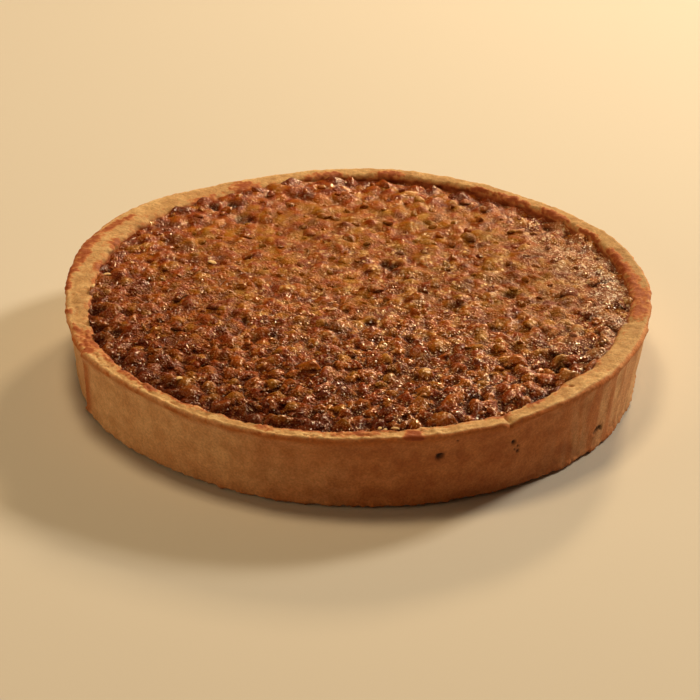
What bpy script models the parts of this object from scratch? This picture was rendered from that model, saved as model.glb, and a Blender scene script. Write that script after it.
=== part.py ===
"""A whole walnut pie: a deep, straight-sided shortcrust case filled to its rim
with chopped walnuts baked in caramel.

Metres, +Z up. The origin is the middle of the flat underside. Angles run in
degrees round +Z from +X, so the front of the pie is at -90.
"""

import math
import random

import bmesh
import bpy
from mathutils import Matrix, Vector, noise

# The baked case.
TOP_RADIUS = 0.1148  # to the outer edge of the rim
BASE_RADIUS = 0.1096  # to the foot of the wall, which leans out as it rises
HEIGHT = 0.0337  # to the rim's flat top
FLOOR = 0.0055  # thickness of the bottom crust
RIM_WIDTH = 0.0079  # across the rim's top, on average
LIP = 0.0009  # how far the trimmed edge stands out over the wall
FOOT = 0.0008  # how far the crumbly bottom edge spreads
STEPS = 120  # columns round the case, a multiple of 6

# The outline and the rim are uneven: (waves round the rim, height, angle of a crest).
OUTLINE_WAVES = ((3, 0.0006, 33), (5, 0.0005, 9), (6, 0.0005, 25))
WIDTH_WAVES = ((1, 0.0016, 140), (2, 0.0023, 154), (3, 0.0009, 148))
RIM_WAVES = ((3, 0.0003, 46), (5, 0.0003, 7), (6, 0.0003, -25))
RIM_LUMPS = 0.0005  # small lumps along the rim and on the wall
LUMP_SIZE = 0.014

# Where two lengths of dough lap over each other, at the left of the front.
SEAM_ANGLE = -153.0
SEAM_LEAN = 5.0  # degrees further back at the foot than at the rim
SEAM_STEP = 0.0011
SEAM_FADE = 11.0

# Dips in the rim: (angle, half width in degrees, depth).
RIM_DIPS = ((-157.0, 9.0, 0.0015), (-13.0, 5.0, 0.0007), (-60.5, 2.5, 0.0006), (-80.0, 8.0, 0.0004))

# The filling.
GAP = 0.0003  # clearance between the filling and the case
FILL_DROP = 0.0031  # the caramel between the nuts, below the rim
CROWN = 0.0010  # how much higher the middle stands than the edge
SUNK_EDGE = (33.0, 62.0, 0.0020)  # angle, half width, how far the edge has sunk
PROUD_EDGE = (117.0, 48.0, 0.0010)  # angle, half width, how far the edge has risen
EDGE_BAND = 0.026  # width of the strip that sinks or rises
SWELL_SIZE = 0.030
SWELL_HEIGHT = 0.0007
RINGS = 10  # rings of triangles across the caramel, half a column's count round the edge

# Gaps in the nuts, where the filling shows near black, as (x, y).
PITS = (
    (-0.0995, -0.0153),
    (-0.0902, -0.0340),
    (-0.0685, -0.0728),
    (-0.0264, -0.0920),
    (-0.0285, -0.0746),
    (0.0785, -0.0535),
    (0.0107, 0.0383),
    (0.0581, 0.0104),
    (-0.0508, 0.0754),
    (0.0960, 0.0206),
)

# The chopped walnuts, from the largest down to about 9 mm.
NUTS = 243
NUT_LENGTHS = (0.0095, 0.0142)
NUT_SHAPE = (1.0, 0.74, 0.56)  # length, width and height against the length
NUT_RAISE = -0.0003  # how far a nut's middle is above the caramel
NUT_JITTER = 0.0018
NUT_FACETS = 0.20  # unevenness of a nut's corners
PIT_RADIUS = 0.0065
GOLDEN_ANGLE = 137.508
SEED = 27

CRUST_COLOUR = (0.52, 0.30, 0.13, 1.0)
FILLING_COLOUR = (0.24, 0.075, 0.018, 1.0)


def clear_scene():
    for thing in list(bpy.data.objects):
        bpy.data.objects.remove(thing, do_unlink=True)


def new_collection(name):
    collection = bpy.data.collections.new(name)
    bpy.context.scene.collection.children.link(collection)
    return collection


def new_object(name, mesh, collection):
    thing = bpy.data.objects.new(name, mesh)
    collection.objects.link(thing)
    return thing


def food_material(name, colour, roughness):
    material = bpy.data.materials.new(name)
    material.use_nodes = True
    shader = material.node_tree.nodes["Principled BSDF"]
    shader.inputs["Base Color"].default_value = colour
    shader.inputs["Roughness"].default_value = roughness
    shader.inputs["Metallic"].default_value = 0.0
    return material


def apply_modifiers(thing):
    """Swap the object's mesh for the one that its modifiers make."""
    graph = bpy.context.evaluated_depsgraph_get()
    mesh = bpy.data.meshes.new_from_object(thing.evaluated_get(graph))
    thing.modifiers.clear()
    thing.data = mesh


def from_angle(angle, middle):
    """Degrees from the middle to the angle, from -180 to 180."""
    return (angle - middle + 180.0) % 360.0 - 180.0


def hump(angle, middle, half_width):
    """1 at the middle, easing to 0 at half_width degrees to either side."""
    away = abs(from_angle(angle, middle)) / half_width
    return 0.5 + 0.5 * math.cos(math.pi * away) if away < 1.0 else 0.0


def ease(value):
    """A smooth step from 0 to 1."""
    value = min(max(value, 0.0), 1.0)
    return value * value * (3.0 - 2.0 * value)


def waves(angle, table):
    return sum(height * math.cos(math.radians(count * (angle - crest))) for count, height, crest in table)


def lumps(angle, z, size, offset):
    """Smooth noise from about -1 to 1 on the wall's surface."""
    turn = math.radians(angle)
    point = Vector((TOP_RADIUS * math.cos(turn), TOP_RADIUS * math.sin(turn), z + offset))
    return noise.noise(point / size)


def seam_step(angle, z):
    """The lap joint: proud on its front side, sunk on its back side."""
    away = from_angle(angle, SEAM_ANGLE - SEAM_LEAN * (1.0 - z / HEIGHT))
    side = 1.0 if away >= 0.0 else -0.7
    return side * SEAM_STEP * math.exp(-abs(away) / SEAM_FADE)


def rim_rise(angle):
    """How far the rim stands above or below its average height."""
    dips = sum(depth * hump(angle, middle, half) for middle, half, depth in RIM_DIPS)
    return waves(angle, RIM_WAVES) + RIM_LUMPS * lumps(angle, HEIGHT, LUMP_SIZE, 0.0) - dips


def outer_radius(angle, z):
    lean = BASE_RADIUS + (TOP_RADIUS - BASE_RADIUS) * z / HEIGHT
    uneven = waves(angle, OUTLINE_WAVES) * (0.4 + 0.6 * z / HEIGHT)
    return lean + uneven + seam_step(angle, z) + RIM_LUMPS * lumps(angle, z, LUMP_SIZE, 1.0)


def inner_radius(angle, z):
    """The inside of the wall, which is straight from the floor to the rim."""
    width = RIM_WIDTH + waves(angle, WIDTH_WAVES)
    top = TOP_RADIUS + waves(angle, OUTLINE_WAVES) - width
    lean = (TOP_RADIUS - BASE_RADIUS) / HEIGHT
    return top - lean * (HEIGHT - z)


def formed_case_point(point):
    """Move a point of the plain turned cup to its place on the baked case."""
    radius = math.hypot(point.x, point.y)
    angle = math.degrees(math.atan2(point.y, point.x))
    across = (TOP_RADIUS - radius) / RIM_WIDTH
    z = point.z + rim_rise(angle) * ease((point.z - FLOOR) / (HEIGHT - FLOOR))
    inside = inner_radius(angle, z)
    if across < 1.0:
        outside = outer_radius(angle, point.z)
        new_radius = outside + (inside - outside) * across
    else:
        new_radius = inside * radius / (TOP_RADIUS - RIM_WIDTH)
    turn = math.radians(angle)
    return Vector((new_radius * math.cos(turn), new_radius * math.sin(turn), z))


def build_case(collection):
    """The crust: a turned cup, then formed by hand as dough is."""
    inner = TOP_RADIUS - RIM_WIDTH
    profile = (
        (0.0, FLOOR),
        (inner, FLOOR),
        (inner, HEIGHT - 0.0012),
        (inner + 0.0012, HEIGHT - 0.0002),
        (TOP_RADIUS - 0.45 * RIM_WIDTH, HEIGHT),
        (TOP_RADIUS - 0.0010, HEIGHT - 0.0001),
        (TOP_RADIUS + LIP, HEIGHT - 0.0014),
        (TOP_RADIUS + 0.7 * LIP, HEIGHT - 0.0028),
        (TOP_RADIUS, HEIGHT - 0.0042),
        (TOP_RADIUS, 0.62 * HEIGHT),
        (TOP_RADIUS, 0.34 * HEIGHT),
        (TOP_RADIUS, 0.0032),
        (TOP_RADIUS + FOOT, 0.0016),
        (TOP_RADIUS + 0.6 * FOOT, 0.0),
        (0.0, 0.0),
    )
    mesh = bpy.data.meshes.new("pastry_case")
    edges = [(index, index + 1) for index in range(len(profile) - 1)]
    mesh.from_pydata([(radius, 0.0, z) for radius, z in profile], edges, [])
    case = new_object("pastry_case", mesh, collection)
    turn = case.modifiers.new("turned", "SCREW")
    turn.axis = "Z"
    turn.angle = math.tau
    turn.steps = STEPS
    turn.render_steps = STEPS
    turn.use_merge_vertices = True
    turn.merge_threshold = 0.00001
    apply_modifiers(case)

    for vertex in case.data.vertices:
        vertex.co = formed_case_point(vertex.co)
    case.data.shade_smooth()
    case.data.set_sharp_from_angle(angle=math.radians(50))
    case.data.materials.append(food_material("baked shortcrust", CRUST_COLOUR, 0.7))
    return case


def fill_level(x, y):
    """Height of the caramel, before the nuts in it."""
    radius = math.hypot(x, y)
    angle = math.degrees(math.atan2(y, x))
    edge = inner_radius(angle, HEIGHT)
    nearness = ease(1.0 - (edge - radius) / EDGE_BAND)
    sunk = SUNK_EDGE[2] * hump(angle, SUNK_EDGE[0], SUNK_EDGE[1])
    proud = PROUD_EDGE[2] * hump(angle, PROUD_EDGE[0], PROUD_EDGE[1])
    crown = CROWN * (1.0 - (radius / edge) ** 2)
    swell = SWELL_HEIGHT * noise.noise(Vector((x, y, 0.0)) / SWELL_SIZE)
    return HEIGHT - FILL_DROP + crown + swell - nearness * (sunk - proud)


def hexagon_to_disc(point):
    """Radius from 0 to 1 and angle of a point of a unit hexagon spread to a disc."""
    if point.length < 1e-6:
        return 0.0, 0.0
    angle = math.degrees(math.atan2(point.y, point.x)) % 360.0
    sector = int(angle / 60.0 + 1e-6) % 6
    turn = math.radians(60.0 * sector)
    start = Vector((math.cos(turn), math.sin(turn)))
    finish = Vector((math.cos(turn + math.pi / 3), math.sin(turn + math.pi / 3)))
    along_start = (point.x * finish.y - point.y * finish.x) / (start.x * finish.y - start.y * finish.x)
    along_finish = (start.x * point.y - start.y * point.x) / (start.x * finish.y - start.y * finish.x)
    ring = along_start + along_finish
    return ring, 60.0 * (sector + along_finish / ring)


def build_filling_core(collection):
    """The caramel: an even disc of triangles, drawn down into the case."""
    shape = bmesh.new()
    corner_on_x = Matrix.Rotation(math.radians(90), 4, "Z")
    bmesh.ops.create_circle(shape, cap_ends=True, cap_tris=True, segments=6, radius=1.0, matrix=corner_on_x)
    bmesh.ops.subdivide_edges(shape, edges=list(shape.edges), cuts=RINGS - 1, use_grid_fill=True)
    outline = [edge for edge in shape.edges if edge.is_boundary]
    bmesh.ops.subdivide_edges(shape, edges=outline, cuts=STEPS // (6 * RINGS) - 1)
    bmesh.ops.triangulate(shape, faces=list(shape.faces))
    for vertex in shape.verts:
        ring, angle = hexagon_to_disc(vertex.co.xy)
        turn = math.radians(angle)
        edge = inner_radius(angle, HEIGHT - FILL_DROP) - GAP
        x = ring * edge * math.cos(turn)
        y = ring * edge * math.sin(turn)
        z = fill_level(x, y)
        if ring > 0.999:
            edge = inner_radius(angle, z) - GAP
            x = edge * math.cos(turn)
            y = edge * math.sin(turn)
        vertex.co = (x, y, z)

    rim = [edge for edge in shape.edges if edge.is_boundary]
    skirt = bmesh.ops.extrude_edge_only(shape, edges=rim)["geom"]
    lower = [vertex for vertex in skirt if isinstance(vertex, bmesh.types.BMVert)]
    for vertex in lower:
        angle = math.degrees(math.atan2(vertex.co.y, vertex.co.x))
        edge = inner_radius(angle, FLOOR + GAP) - GAP
        turn = math.radians(angle)
        vertex.co = (edge * math.cos(turn), edge * math.sin(turn), FLOOR + GAP)
    bottom = [edge for edge in shape.edges if edge.is_boundary]
    bmesh.ops.contextual_create(shape, geom=bottom)
    bmesh.ops.recalc_face_normals(shape, faces=list(shape.faces))
    mesh = bpy.data.meshes.new("walnut_filling")
    shape.to_mesh(mesh)
    shape.free()
    return new_object("walnut_filling", mesh, collection)


def nut_places(chance):
    """Even places for the nuts, as (x, y), with none over a pit."""
    places = []
    reach = TOP_RADIUS - RIM_WIDTH
    for number in range(NUTS):
        radius = reach * math.sqrt((number + 0.5) / NUTS)
        turn = math.radians(number * GOLDEN_ANGLE)
        x = radius * math.cos(turn) + chance.uniform(-NUT_JITTER, NUT_JITTER)
        y = radius * math.sin(turn) + chance.uniform(-NUT_JITTER, NUT_JITTER)
        if all(math.hypot(x - pit_x, y - pit_y) > PIT_RADIUS for pit_x, pit_y in PITS):
            places.append((x, y))
    return places


def past_the_wall(point):
    """How far a point reaches past its clearance from the inside of the case."""
    angle = math.degrees(math.atan2(point.y, point.x))
    return math.hypot(point.x, point.y) - inner_radius(angle, point.z) + 2.0 * GAP


def build_nut(place, chance, collection):
    """One piece of walnut: a knobbly lump with few faces."""
    x, y = place
    length = chance.uniform(*NUT_LENGTHS)
    shape = bmesh.new()
    bmesh.ops.create_icosphere(shape, subdivisions=1, radius=0.5)
    for vertex in shape.verts:
        vertex.co *= 1.0 + chance.uniform(-NUT_FACETS, NUT_FACETS)
    tilt = Matrix.Rotation(math.radians(chance.uniform(-14, 14)), 4, "X")
    spin = Matrix.Rotation(chance.uniform(0.0, math.tau), 4, "Z")
    size = Matrix.Diagonal([length * share for share in NUT_SHAPE] + [1.0])
    shape.transform(Matrix.Translation((x, y, fill_level(x, y) + NUT_RAISE)) @ spin @ tilt @ size)
    excess = max(past_the_wall(vertex.co) for vertex in shape.verts)
    if excess > 0.0:
        inward = Vector((-x, -y, 0.0)).normalized()
        bmesh.ops.translate(shape, verts=list(shape.verts), vec=inward * excess * 1.05)
    mesh = bpy.data.meshes.new("nut")
    shape.to_mesh(mesh)
    shape.free()
    return new_object("nut", mesh, collection)


def build_filling(collection):
    filling = build_filling_core(collection)
    chance = random.Random(SEED)
    nuts = new_collection("nuts to fuse")
    for place in nut_places(chance):
        build_nut(place, chance, nuts)
    fuse = filling.modifiers.new("fused nuts", "BOOLEAN")
    fuse.operation = "UNION"
    fuse.operand_type = "COLLECTION"
    fuse.collection = nuts
    fuse.solver = "MANIFOLD"
    apply_modifiers(filling)
    for nut in list(nuts.objects):
        bpy.data.objects.remove(nut, do_unlink=True)
    bpy.data.collections.remove(nuts)

    filling.data.shade_smooth()
    filling.data.set_sharp_from_angle(angle=math.radians(50))
    filling.data.materials.clear()
    filling.data.materials.append(food_material("caramel and walnut", FILLING_COLOUR, 0.3))
    return filling


def build_pie():
    clear_scene()
    pie = new_collection("walnut pie")
    build_case(pie)
    build_filling(pie)


build_pie()
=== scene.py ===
"""The looks of a whole walnut pie: a pale shortcrust case and its glossy filling of
chopped walnuts in caramel. Metres, +Z up; the front of the pie is towards -Y."""

import math
import random

import bmesh
import bpy
import numpy as np
from mathutils import Matrix, Vector, noise
from mathutils.bvhtree import BVHTree


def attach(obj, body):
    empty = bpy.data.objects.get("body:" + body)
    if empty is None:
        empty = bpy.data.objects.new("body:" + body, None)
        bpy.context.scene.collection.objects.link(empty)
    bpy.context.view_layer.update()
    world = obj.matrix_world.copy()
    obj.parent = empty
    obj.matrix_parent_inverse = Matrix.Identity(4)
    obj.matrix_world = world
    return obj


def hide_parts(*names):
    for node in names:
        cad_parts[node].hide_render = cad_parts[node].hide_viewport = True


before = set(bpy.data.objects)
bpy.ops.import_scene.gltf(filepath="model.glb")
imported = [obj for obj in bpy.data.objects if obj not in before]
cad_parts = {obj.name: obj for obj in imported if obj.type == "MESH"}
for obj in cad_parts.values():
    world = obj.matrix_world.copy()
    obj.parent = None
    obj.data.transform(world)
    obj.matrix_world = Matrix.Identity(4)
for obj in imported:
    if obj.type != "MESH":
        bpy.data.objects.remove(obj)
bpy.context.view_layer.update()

# ----------------------------------------------------------------------------------
# The crust: sweet shortcrust dough, rolled out, pressed into a deep round tin and
# trimmed along the top with a knife. It bakes pale and sandy, browner where it was
# thin or touched the tin, and the filling has boiled over it in a few places.

TOP_RADIUS = 0.1148  # to the outer edge of the rim
BASE_RADIUS = 0.1096  # to the foot of the wall
HEIGHT = 0.0337
FLOOR = 0.0055
RIM_WIDTH = 0.0079
LIP = 0.0009  # how far the trimmed edge stands out over the wall
FOOT = 0.0008  # how far the crumbly bottom edge spreads
COLUMNS = 1080  # columns of faces round the case

# (waves round the rim, height, angle of a crest)
OUTLINE_WAVES = ((3, 0.0006, 33), (5, 0.0005, 9), (6, 0.0005, 25))
WIDTH_WAVES = ((1, 0.0016, 140), (2, 0.0023, 154), (3, 0.0009, 148))
RIM_WAVES = ((3, 0.0003, 46), (5, 0.0003, 7), (6, 0.0003, -25))
RIM_LUMPS = 0.0005  # how far hands have pressed the dough out of true
LUMP_SIZE = 0.014

SEAM_ANGLE = -153.0  # the lap joint of the dough, at the rim
SEAM_LEAN = 5.0  # degrees further back at the foot
SEAM_STEP = 0.0011  # how far the upper layer stands out
SEAM_FADE = 11.0  # degrees in which it thins out

STRIP_END = -12.0  # where the end of a second strip of dough shows inside the rim
STRIP_STEP = 0.0012  # how far it stands in
STRIP_FADE = 16.0  # degrees in which it thins out

# Where the rim was folded in thicker: (angle, half width in degrees, how much further in).
FOLDS = ((-42.5, 7.5, 0.0020), (-31.0, 20.0, 0.0014))

# Where the rim dips: (angle, half width in degrees, depth).
RIM_DIPS = (
    (-157.0, 9.0, 0.0015),
    (-13.0, 5.0, 0.0007),
    (-60.5, 2.5, 0.0006),
    (-80.0, 8.0, 0.0004),
)
CUT_LOWER = 0.0020  # how much lower the knife has cut the rim, round the front and left
CUT_ENDS = (-178.0, -44.0)  # the angles between which it did


def from_angle(angle, middle):
    """Degrees from the middle to the angle, from -180 to 180."""
    return (angle - middle + 180.0) % 360.0 - 180.0


def hump(angle, middle, half_width):
    """1 at the middle, easing to 0 at half_width degrees to either side."""
    away = np.minimum(np.abs(from_angle(angle, middle)) / half_width, 1.0)
    return 0.5 + 0.5 * np.cos(np.pi * away)


def ease(value):
    """A smooth step from 0 to 1."""
    value = np.clip(value, 0.0, 1.0)
    return value * value * (3.0 - 2.0 * value)


def waves(angle, table):
    """The sum of a table of waves round the pie."""
    return sum(
        height * np.cos(np.radians(count * (angle - crest))) for count, height, crest in table
    )


def bell(value, middle, width):
    """1 at the middle, falling off smoothly to both sides."""
    return np.exp(-(((value - middle) / width) ** 2))


def noise_at(x, y, z, size):
    """Smooth noise from about -1 to 1, with lumps of the given size."""
    points = zip((x / size).ravel(), (y / size).ravel(), (z / size).ravel())
    values = np.fromiter((noise.noise(point) for point in points), float, x.size)
    return values.reshape(x.shape)


def wall_lumps(angle, z, offset):
    turn = np.radians(angle)
    x, y = TOP_RADIUS * np.cos(turn), TOP_RADIUS * np.sin(turn)
    return noise_at(x, y, z + offset, LUMP_SIZE)


def rim_rise(angle):
    """How far the rim stands above or below its average height."""
    dips = sum(depth * hump(angle, middle, half) for middle, half, depth in RIM_DIPS)
    lumps = RIM_LUMPS * wall_lumps(angle, np.full_like(angle, HEIGHT), 0.0)
    return waves(angle, RIM_WAVES) + lumps - dips


def cut_lower(angle):
    """How much lower the knife has cut the rim here."""
    start, end = CUT_ENDS
    return CUT_LOWER * ease((end - angle) / 18.0) * ease((angle - start) / 14.0)


def rim_top(angle):
    return HEIGHT + rim_rise(angle) - cut_lower(angle)


def seam_away(angle, z):
    """Degrees from the lap joint, which leans back towards the foot."""
    return from_angle(angle, SEAM_ANGLE - SEAM_LEAN * (1.0 - z / HEIGHT))


def outer_radius(angle, z):
    lean = BASE_RADIUS + (TOP_RADIUS - BASE_RADIUS) * z / HEIGHT
    uneven = waves(angle, OUTLINE_WAVES) * (0.4 + 0.6 * z / HEIGHT)
    away = seam_away(angle, z)
    seam = np.where(away >= 0.0, 1.0, -0.7) * SEAM_STEP * np.exp(-np.abs(away) / SEAM_FADE)
    return lean + uneven + seam + RIM_LUMPS * wall_lumps(angle, z, 1.0)


def inner_radius(angle, z):
    width = RIM_WIDTH + waves(angle, WIDTH_WAVES)
    width = width + sum(further * hump(angle, middle, half) for middle, half, further in FOLDS)
    away = from_angle(angle, STRIP_END)
    strip = np.where(away < 0.0, 1.0, -0.6) * STRIP_STEP * np.exp(-np.abs(away) / STRIP_FADE)
    top = TOP_RADIUS + waves(angle, OUTLINE_WAVES) - width - strip
    return top - (TOP_RADIUS - BASE_RADIUS) / HEIGHT * (HEIGHT - z)


def case_rows():
    """The case's cross-section, from the middle of its floor, over the rim, to the
    middle of its underside, as nominal (radius, z) rows."""
    inner = TOP_RADIUS - RIM_WIDTH
    # (radius, z, spacing of the rows up to the next point)
    corners = (
        (0.0, FLOOR, 0.0550),
        (inner, FLOOR, 0.0080),
        (inner, 0.66 * HEIGHT, 0.0010),
        (inner, HEIGHT - 0.0045, 0.0006),
        (inner, HEIGHT - 0.0012, 0.0005),
        (inner + 0.0012, HEIGHT - 0.0002, 0.0005),
        (TOP_RADIUS - 0.45 * RIM_WIDTH, HEIGHT, 0.0005),
        (TOP_RADIUS - 0.0010, HEIGHT - 0.0001, 0.0005),
        (TOP_RADIUS + LIP, HEIGHT - 0.0014, 0.0005),
        (TOP_RADIUS + 0.7 * LIP, HEIGHT - 0.0028, 0.0005),
        (TOP_RADIUS, HEIGHT - 0.0042, 0.0008),
        (TOP_RADIUS, 0.0032, 0.0005),
        (TOP_RADIUS + FOOT, 0.0016, 0.0005),
        (TOP_RADIUS + 0.6 * FOOT, 0.0, 0.0110),
        (0.0, 0.0, 0.0),
    )
    rows = []
    for (radius, z, spacing), (next_radius, next_z, _) in zip(corners, corners[1:]):
        count = max(1, round(math.hypot(next_radius - radius, next_z - z) / spacing))
        for step in range(count):
            share = step / count
            rows.append((radius + (next_radius - radius) * share, z + (next_z - z) * share))
    rows.append(corners[-1][:2])
    rows = np.array(rows)
    for _ in range(2):  # rounds the corners, and leaves what is straight as it is
        middle = 0.5 * rows[1:-1] + 0.25 * (rows[:-2] + rows[2:])
        middle[rows[1:-1, 0] < 0.9 * inner] = rows[1:-1][rows[1:-1, 0] < 0.9 * inner]
        rows[1:-1] = middle
    return rows


def grid_normals(points):
    """Unit normals of a grid of points that closes on itself along its first side."""
    along = np.roll(points, -1, axis=0) - np.roll(points, 1, axis=0)
    down = np.gradient(points, axis=1)
    normal = np.cross(along, down)
    return normal / np.maximum(np.linalg.norm(normal, axis=2, keepdims=True), 1e-12)


rows = case_rows()[1:-1]
angle = np.repeat((np.arange(COLUMNS) * 360.0 / COLUMNS - 180.0)[:, None], len(rows), axis=1)
nominal_radius = np.repeat(rows[None, :, 0], COLUMNS, axis=0)
nominal_z = np.repeat(rows[None, :, 1], COLUMNS, axis=0)
across = (TOP_RADIUS - nominal_radius) / RIM_WIDTH  # 0 at the wall's outside, 1 at its inside
turn = np.radians(angle)
along = TOP_RADIUS * turn
wall_x, wall_y = TOP_RADIUS * np.cos(turn), TOP_RADIUS * np.sin(turn)

# The lip and the foot are only as even as hands make them.
uneven = noise_at(wall_x, wall_y, 0.0 * turn, 0.011)
frayed = noise_at(wall_x, wall_y, nominal_z, 0.0038)
crumbled = 0.0010 * frayed + 0.0004 * noise_at(wall_x, wall_y, nominal_z, 0.0016)
under_lip_row = bell(nominal_z, HEIGHT - 0.0034, 0.0012) * (across < 0.02)
outstanding = np.where(nominal_z > 0.5 * HEIGHT, np.clip(0.4 + 1.0 * uneven, 0.0, 1.2), 1.0)
across = np.where(across < 0.0, across * outstanding, across)

z = nominal_z + rim_rise(angle[:, :1]) * ease((nominal_z - FLOOR) / (HEIGHT - FLOOR))
z = z + under_lip_row * (0.0012 * uneven + 0.0006 * frayed)
z = z - cut_lower(angle) * ease((nominal_z - HEIGHT + 0.0085) / 0.0050)
inside = inner_radius(angle, z) + crumbled * ease((nominal_z - HEIGHT + 0.0050) / 0.0040)
outside = outer_radius(angle, nominal_z)
radius = np.where(
    across < 1.0 - 1e-6,
    outside + (inside - outside) * across,
    inside * nominal_radius / (TOP_RADIUS - RIM_WIDTH),
)
points = np.stack([radius * np.cos(turn), radius * np.sin(turn), z], axis=2)
crust_normal = grid_normals(points)
if crust_normal[0, len(rows) // 2] @ points[0, len(rows) // 2] < 0.0:
    crust_normal = -crust_normal

# Where on the crust a point is: on top of the rim, on the wall outside, at its foot.
on_rim = ease((nominal_z - (HEIGHT - 0.0026)) / 0.0014)
on_wall = (across < 0.02) * (1.0 - on_rim)
at_foot = ease((0.0045 - nominal_z) / 0.0040) * (across < 0.5)
inside_wall = (across > 0.9) * (nominal_z > FLOOR + 0.001)

# The dough's own unevenness, in lumps of 1 to 6 mm: sandy grain, a crumbly foot, a rim
# torn by the knife. The streaks run down the wall, where the dough slid in the tin.
PORE_DEPTH = 0.0007
STREAK_DEPTH = 0.0003
RIDGE = 0.00045  # the burr that the knife has left along the outer edge
px, py, pz = points[..., 0], points[..., 1], points[..., 2]
fine, crumbs, sandy, lumpy = (
    noise_at(px, py, pz, size) for size in (0.0011, 0.0016, 0.0023, 0.0055)
)
streaks = 0.6 * noise_at(along, 0.0 * along, 0.25 * nominal_z, 0.0030)
streaks = streaks + 0.8 * noise_at(along, 0.0 * along, 0.30 * nominal_z + 0.4 * along, 0.0065)
broken = 0.25 + 0.75 * hump(angle, -120.0, 85.0)  # the rim is most ragged at the front left
pores = ease((crumbs - 0.12) / 0.22) * on_rim * np.clip(0.45 + 1.2 * lumpy, 0.0, 1.0) * broken
ridge = bell(across, 0.08, 0.13) * on_rim * (0.3 + 0.7 * broken)

foot_relief = 0.00042 * sandy + 0.00038 * fine + 0.00050 * lumpy - 0.0001
rim_relief = 0.00024 * sandy + 0.00018 * lumpy + 0.00018 * fine
relief = 0.00005 * fine + 0.00007 * sandy + 0.00014 * lumpy
relief += at_foot * foot_relief * ease((angle + 172.0) / 30.0)
relief += on_rim * (0.5 + 0.5 * broken) * rim_relief - PORE_DEPTH * pores
relief += on_wall * hump(angle, -22.0, 20.0) * STREAK_DEPTH * streaks
relief += ridge * (RIDGE + 0.00050 * noise_at(px, py, pz, 0.0034))

# Marks of the knife and of the fold: (angle, half width in degrees, height), across the rim.
RIM_MARKS = ((-61.8, 1.6, 0.0006), (-60.4, 0.6, -0.0010), (-75.0, 1.3, 0.0007))
for middle, half, height in RIM_MARKS:
    relief += height * hump(angle, middle, half) * on_rim * ease((0.8 - across) / 0.2)
STRIP_RISE = 0.0005  # how far the end of the second strip stands up
strip_side = from_angle(angle, STRIP_END)
strip = ease(0.5 - strip_side / 0.5) * np.exp(np.minimum(strip_side, 0.0) / 4.0)
relief += STRIP_RISE * strip * on_rim

# Small holes in the wall, painted near-black inside as shade: (x is angle) (angle, height, radius,
# depth).
SPECKS = (
    (-74.2, 0.0218, 0.0015, 0.0010),
    (-73.7, 0.0225, 0.0010, 0.0007),
    (-71.1, 0.0282, 0.0005, 0.0002),
    (-59.1, 0.0219, 0.0012, 0.0009),
    (-57.9, 0.0195, 0.0007, 0.0006),
    (-57.8, 0.0171, 0.0008, 0.0006),
    (-58.6, 0.0186, 0.0005, 0.0003),
    (-35.7, 0.0085, 0.0010, 0.0010),
    (-35.0, 0.0090, 0.0013, 0.0012),
    (-34.1, 0.0090, 0.0013, 0.0012),
    (-33.2, 0.0087, 0.0010, 0.0010),
)
painted_hole_shade = np.zeros_like(z)
for middle, height, size, depth in SPECKS:
    away = np.hypot(from_angle(angle, middle) * np.pi / 180.0 * TOP_RADIUS, z - height) / size
    dent = ease(1.35 - away + 0.3 * fine) * (across < 0.02)
    relief -= depth * dent
    painted_hole_shade = np.maximum(painted_hole_shade, dent)

# Small pits in the rim, painted darker inside as shade: (x, y, radius, depth).
RIM_PITS = ((0.0796, -0.0738, 0.0011, 0.0011), (0.0940, -0.0608, 0.0006, 0.0004))
rim_pit = np.zeros_like(z)
for x, y, size, depth in RIM_PITS:
    dent = ease(1.35 - np.hypot(px - x, py - y) / size + 0.3 * fine) * on_rim
    relief -= depth * dent
    rim_pit = np.maximum(rim_pit, dent)

# Where the filling has boiled over the rim: (angle, across, half width in degrees, half across).
SMEARS = (
    (-157.0, 0.60, 5.5, 0.75),
    (-153.5, 0.30, 2.5, 0.30),
    (-169.3, 0.12, 1.6, 0.16),
    (178.0, 0.04, 6.0, 0.17),
    (-163.0, 0.20, 2.2, 0.16),
    (173.5, 0.18, 3.0, 0.20),
    (168.0, 0.22, 3.6, 0.24),
    (163.5, 0.20, 3.2, 0.21),
    (159.0, 0.24, 3.6, 0.24),
    (153.5, 0.30, 4.4, 0.15),
    (149.0, 0.42, 3.5, 0.12),
    (171.0, 0.97, 3.0, 0.22),
    (160.0, 0.95, 3.0, 0.18),
    (-146.0, 0.85, 3.0, 0.35),
    (-139.5, 0.80, 4.0, 0.34),
    (-133.0, 0.75, 3.5, 0.38),
    (-126.0, 0.90, 4.0, 0.28),
    (-119.0, 0.95, 4.0, 0.22),
    (-107.0, 0.60, 2.2, 0.42),
    (-100.0, 0.95, 4.0, 0.30),
    (-90.0, 0.70, 4.6, 0.50),
    (-84.5, 0.95, 3.0, 0.28),
    (-79.3, 0.35, 2.0, 0.70),
    (-61.0, 0.82, 3.6, 0.30),
    (-53.0, 0.80, 2.2, 0.24),
    (-30.0, 1.00, 4.0, 0.10),
    (-6.0, 0.60, 4.2, 0.52),
    (0.5, 0.50, 4.8, 0.52),
    (7.0, 0.80, 4.2, 0.46),
    (13.0, 0.85, 4.0, 0.38),
    (19.0, 0.95, 5.0, 0.35),
    (30.0, 0.95, 5.0, 0.28),
    (43.0, 0.90, 4.5, 0.40),
    (54.0, 0.90, 5.0, 0.42),
    (62.0, 0.95, 4.0, 0.30),
    (84.0, 0.80, 4.0, 0.40),
    (98.0, 0.85, 5.0, 0.40),
    (117.0, 0.70, 3.5, 0.55),
    (128.0, 0.95, 4.0, 0.25),
)
smear = np.full_like(z, -1.0)
for middle, place, half_angle, half_across in SMEARS:
    away = (from_angle(angle, middle) / half_angle) ** 2 + ((across - place) / half_across) ** 2
    smear = np.maximum(smear, 1.0 - away)
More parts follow.
